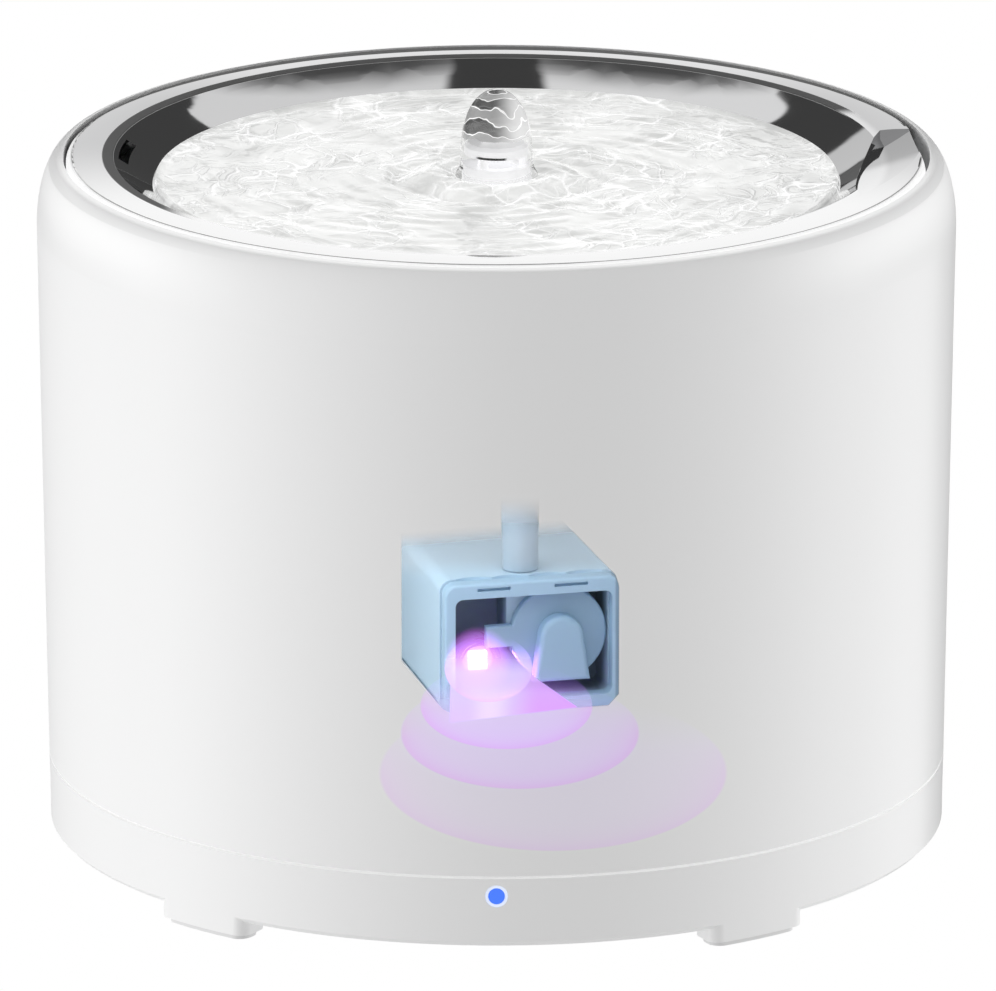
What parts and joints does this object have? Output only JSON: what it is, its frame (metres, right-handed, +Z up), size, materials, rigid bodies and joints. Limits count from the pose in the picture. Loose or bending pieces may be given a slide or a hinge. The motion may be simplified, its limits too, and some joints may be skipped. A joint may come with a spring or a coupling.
{
  "type": "pet water fountain",
  "caption": "Round cordless-pump pet water fountain: shallow base with a pilot light, white tank, filter basket, polished steel drinking tray with an outlet nozzle, and a lift-out pump.",
  "frame": {"origin": "on the fountain's vertical axis, at the height of the feet's soles", "axes": "+Z up, -Y towards the front with the pilot light, +X towards the side with the lifting scoop"},
  "size_m": [0.1874, 0.1874, 0.1467],
  "materials": {
    "white_shell": "gloss",
    "white_moulding": "satin",
    "foot_rubber": "matte",
    "screw_steel": "satin",
    "circuit_board": "satin",
    "socket_shell": "satin",
    "socket_tongue": "matte",
    "copper_winding": "satin",
    "ferrite": "matte",
    "stator_steel": "satin",
    "pilot_lens": "gloss",
    "pilot_lamp": "gloss",
    "pilot_ring": "gloss",
    "cartridge_plastic": "satin",
    "filter_granules": "rough",
    "felt": "matte",
    "polished_steel": "mirror polish",
    "nozzle_white": "gloss",
    "grommet_rubber": "matte",
    "pump_blue": "satin",
    "pump_blue_deep": "satin",
    "impeller_plastic": "satin",
    "bush_rubber": "matte",
    "lamp_face": "gloss",
    "clear_window": "clear",
    "silicone": "satin"
  },
  "bodies": {
    "base": {"base_shell": "white_shell", "base_cover": "white_moulding", "foot_pad_1": "foot_rubber", "foot_pad_2": "foot_rubber", "foot_pad_3": "foot_rubber", "foot_pad_4": "foot_rubber", "cover_screws": "screw_steel", "control_board": "circuit_board", "power_socket": "socket_shell", "socket_tongue": "socket_tongue", "transmit_coil": "copper_winding", "transmit_ferrite": "ferrite", "pilot_board": "circuit_board", "pilot_lamp": "pilot_lamp", "pilot_lens": "pilot_lens", "pilot_ring": "pilot_ring"},
    "tank": {"tank_shell": "white_shell"},
    "filter_basket": {"filter_basket": "white_moulding"},
    "cartridge": {"cartridge_frame": "cartridge_plastic", "filter_media": "filter_granules", "filter_felt": "felt"},
    "drinking_tray": {"steel_tray": "polished_steel", "tray_frame": "white_moulding", "outlet_nozzle": "nozzle_white", "nozzle_grommet": "grommet_rubber"},
    "pump": {"pump_housing": "pump_blue", "pump_base_plate": "pump_blue_deep", "rotor_shaft": "screw_steel", "shaft_bush": "bush_rubber", "stator_core": "stator_steel", "stator_coils": "copper_winding", "receive_coil": "copper_winding", "receive_ferrite": "ferrite", "pump_board": "circuit_board", "uv_lamp": "lamp_face", "uv_window": "clear_window", "riser_tube": "silicone"},
    "intake_frame": {"intake_frame": "pump_blue"},
    "impeller_cover": {"impeller_cover": "pump_blue_deep"},
    "impeller": {"impeller": "impeller_plastic", "rotor_magnet": "ferrite"}
  },
  "joints": [
    {"name": "tank_lift", "type": "slide", "parent": "base", "child": "tank", "axis": [0, 0, 1], "range_m": [0, 0.05]},
    {"name": "basket_lift", "type": "slide", "parent": "tank", "child": "filter_basket", "axis": [0, 0, 1], "range_m": [0, 0.26]},
    {"name": "pump_lift", "type": "slide", "parent": "tank", "child": "pump", "axis": [0, 0, 1], "range_m": [0, 0.13]},
    {"name": "tray_lift", "type": "slide", "parent": "filter_basket", "child": "drinking_tray", "axis": [0, 0, 1], "range_m": [0, 0.09]},
    {"name": "cartridge_lift", "type": "slide", "parent": "filter_basket", "child": "cartridge", "axis": [0, 0, 1], "range_m": [0, 0.045]},
    {"name": "intake_frame_pull", "type": "slide", "parent": "pump", "child": "intake_frame", "axis": [0.2334, -0.9724, 0], "range_m": [0, 0.02]},
    {"name": "impeller_cover_twist", "type": "hinge", "parent": "pump", "child": "impeller_cover", "pos_m": [0.01278, -0.00304, 0.04335], "axis": [0.2334, -0.9724, 0], "range_deg": [0, 30]},
    {"name": "impeller_spin", "type": "hinge", "parent": "pump", "child": "impeller", "pos_m": [0.01278, -0.00304, 0.04335], "axis": [0.2334, -0.9724, 0], "continuous": true}
  ],
  "couplings": [
    {"joint": "pump_lift", "follows": "basket_lift", "ratio": 0.5},
    {"joint": "cartridge_lift", "follows": "tray_lift", "ratio": 0.5}
  ]
}
